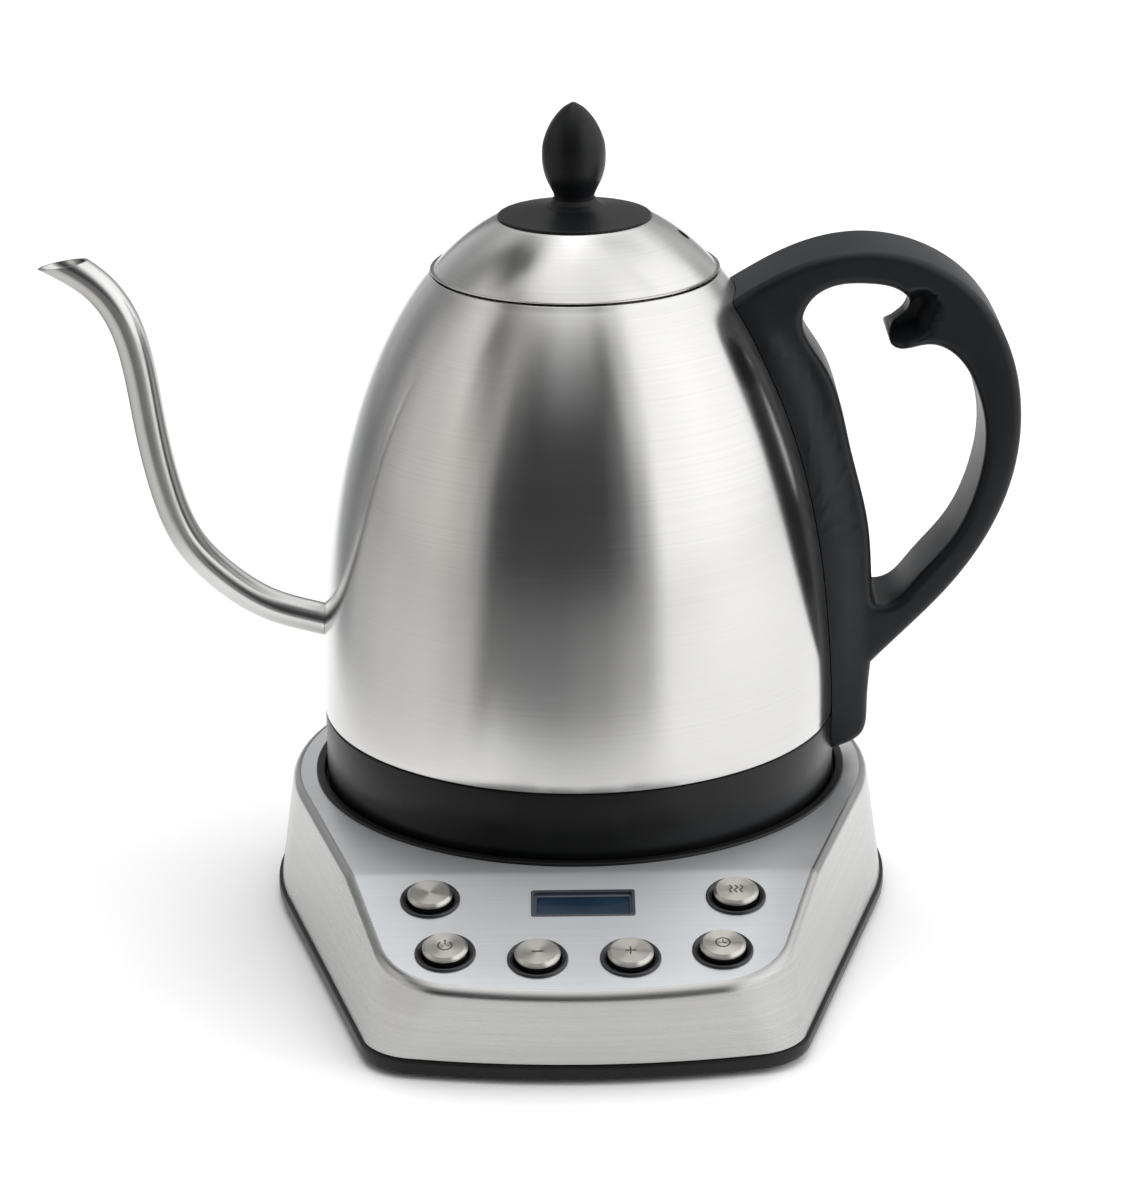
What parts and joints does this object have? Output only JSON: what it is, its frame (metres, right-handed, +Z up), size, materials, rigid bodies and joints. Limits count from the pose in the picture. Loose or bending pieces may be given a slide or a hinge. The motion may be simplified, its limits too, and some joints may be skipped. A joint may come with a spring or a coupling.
{
  "type": "gooseneck kettle",
  "caption": "Electric pour-over kettle: domed steel body, thin curved spout, open loop handle, lift-off lid with a pointed knob, on a cordless base with buttons and a small display.",
  "frame": {"origin": "centre of the whole part's footprint box at the level of the feet, on the table; the kettle's own axis stands 12.65 mm to +X and 22.6 mm to +Y of it", "axes": "+Z up, +X towards the handle (the spout points to -X), -Y towards the control panel"},
  "size_m": [0.2794, 0.2266, 0.2377],
  "materials": {
    "body_steel": "brushed, satin",
    "lid_steel": "brushed, satin",
    "base_steel": "brushed",
    "spout_steel": "satin polished",
    "inner_steel": "satin",
    "key_steel": "spun",
    "handle_black": "soft touch",
    "lid_black": "soft touch",
    "skirt_black": "satin",
    "base_black": "satin",
    "bezel_grey": "satin",
    "foot_rubber": "matte",
    "seal_silicone": "matte",
    "heater_aluminium": "cast",
    "dark_steel": "dull",
    "screw_steel": "plain",
    "contact_brass": "plain",
    "display_glass": "dark, glossy",
    "lcd_body": "glossy",
    "board_green": "lacquered"
  },
  "bodies": {
    "base": {"base_shell": "base_steel", "base_tray": "base_black", "seat_pan": "base_black", "power_socket": "base_black", "socket_ring_contact": "contact_brass", "socket_pin_contact": "contact_brass", "display_frame": "base_black", "display_window": "display_glass", "lcd_module": "lcd_body", "control_board": "board_green", "power_board": "board_green", "buzzer": "base_black", "cord_gland": "base_black", "foot_rear_right": "foot_rubber", "foot_rear_left": "foot_rubber", "foot_front_right": "foot_rubber", "foot_front_left": "foot_rubber", "tray_screw_rear_right": "screw_steel", "tray_screw_rear_left": "screw_steel", "tray_screw_front_right": "screw_steel", "tray_screw_front_left": "screw_steel", "timer_bezel": "bezel_grey", "boil_bezel": "bezel_grey", "power_bezel": "bezel_grey", "hold_bezel": "bezel_grey", "minus_bezel": "bezel_grey", "plus_bezel": "bezel_grey"},
    "coupler": {"coupler_body": "skirt_black", "coupler_ring": "contact_brass", "coupler_pin": "contact_brass"},
    "kettle": {"body_shell": "body_steel", "spout": "spout_steel", "skirt": "skirt_black", "floor_plate": "inner_steel", "heat_spreader": "heater_aluminium", "heating_element": "dark_steel", "temperature_probe": "inner_steel", "probe_seal": "seal_silicone", "mouth_collar": "inner_steel", "handle": "handle_black", "handle_bracket_upper": "dark_steel", "handle_bracket_lower": "dark_steel", "handle_screw_upper": "screw_steel", "handle_screw_lower": "screw_steel", "skirt_screw_1": "screw_steel", "skirt_screw_2": "screw_steel", "skirt_screw_3": "screw_steel"},
    "lid": {"lid_dome": "lid_steel", "lid_pan": "lid_steel", "lid_gasket": "seal_silicone", "lid_disc": "lid_black", "lid_knob": "lid_black", "lid_screw": "screw_steel"},
    "timer_key": {"timer_button": "key_steel"},
    "boil_key": {"boil_button": "key_steel"},
    "power_key": {"power_button": "key_steel"},
    "hold_key": {"hold_button": "key_steel"},
    "minus_key": {"minus_button": "key_steel"},
    "plus_key": {"plus_button": "key_steel"}
  },
  "joints": [
    {"name": "kettle_lift", "type": "slide", "parent": "base", "child": "coupler", "axis": [0, 0, 1], "range_m": [0, 0.1]},
    {"name": "kettle_swivel", "type": "hinge", "parent": "coupler", "child": "kettle", "pos_m": [0.01265, 0.0226, 0.045], "axis": [0, 0, 1], "continuous": true},
    {"name": "lid_lift", "type": "slide", "parent": "kettle", "child": "lid", "axis": [0, 0, 1], "range_m": [0, 0.05]},
    {"name": "timer_press", "type": "slide", "parent": "base", "child": "timer_key", "axis": [0, 0.225, -0.9744], "range_m": [0, 0.001], "stiffness_N_per_m": 400, "springref_m": -0.0005},
    {"name": "boil_press", "type": "slide", "parent": "base", "child": "boil_key", "axis": [0, 0.225, -0.9744], "range_m": [0, 0.001], "stiffness_N_per_m": 400, "springref_m": -0.0005},
    {"name": "power_press", "type": "slide", "parent": "base", "child": "power_key", "axis": [0, 0.225, -0.9744], "range_m": [0, 0.001], "stiffness_N_per_m": 400, "springref_m": -0.0005},
    {"name": "hold_press", "type": "slide", "parent": "base", "child": "hold_key", "axis": [0, 0.225, -0.9744], "range_m": [0, 0.001], "stiffness_N_per_m": 400, "springref_m": -0.0005},
    {"name": "minus_press", "type": "slide", "parent": "base", "child": "minus_key", "axis": [0, 0.225, -0.9744], "range_m": [0, 0.001], "stiffness_N_per_m": 400, "springref_m": -0.0005},
    {"name": "plus_press", "type": "slide", "parent": "base", "child": "plus_key", "axis": [0, 0.225, -0.9744], "range_m": [0, 0.001], "stiffness_N_per_m": 400, "springref_m": -0.0005}
  ]
}
